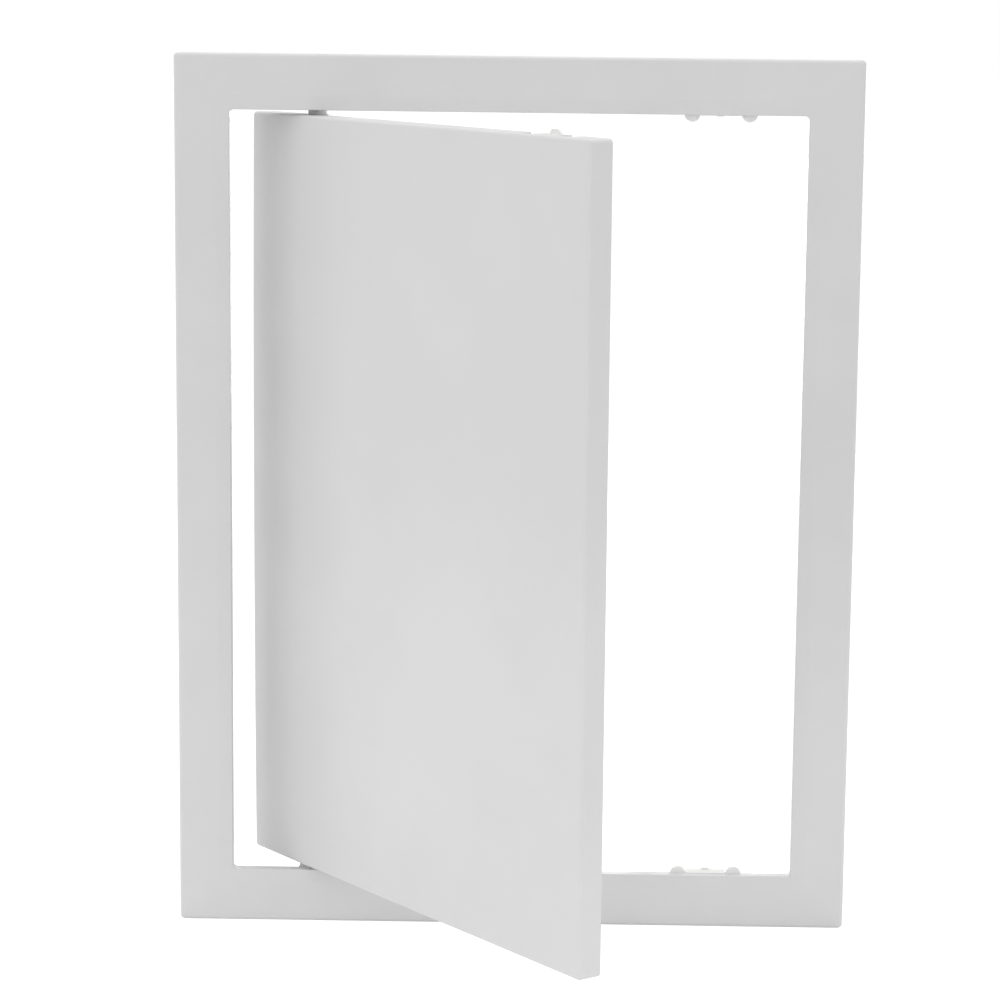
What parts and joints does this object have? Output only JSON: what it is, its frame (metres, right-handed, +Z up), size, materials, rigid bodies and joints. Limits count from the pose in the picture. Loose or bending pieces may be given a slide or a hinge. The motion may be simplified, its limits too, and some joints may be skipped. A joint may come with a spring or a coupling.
{
  "type": "access panel",
  "caption": "White plastic access panel for a hole in a ceiling or wall: a flanged frame and a flush tray-shaped door that turns on pivots set in from its edge and snaps shut.",
  "frame": {"origin": "middle of the panel on the plane of the wall or ceiling, where the rear of the flange rests", "axes": "+X across the panel to the right as seen from the room, +Z up the panel, -Y out into the room and +Y into the hole"},
  "size_m": [0.337, 0.2276, 0.437],
  "materials": {
    "frame_plastic": "satin",
    "door_plastic": "satin gloss",
    "pin_plastic": "matte"
  },
  "bodies": {
    "frame": {"Frame": "frame_plastic"},
    "door": {"Door": "door_plastic", "Pin_Top": "pin_plastic", "Pin_Bottom": "pin_plastic"}
  },
  "joints": [
    {"name": "door_hinge", "type": "hinge", "parent": "frame", "child": "door", "pos_m": [-0.099, 0.009, 0], "axis": [0, 0, -1], "range_deg": [-52.7, 92]}
  ]
}
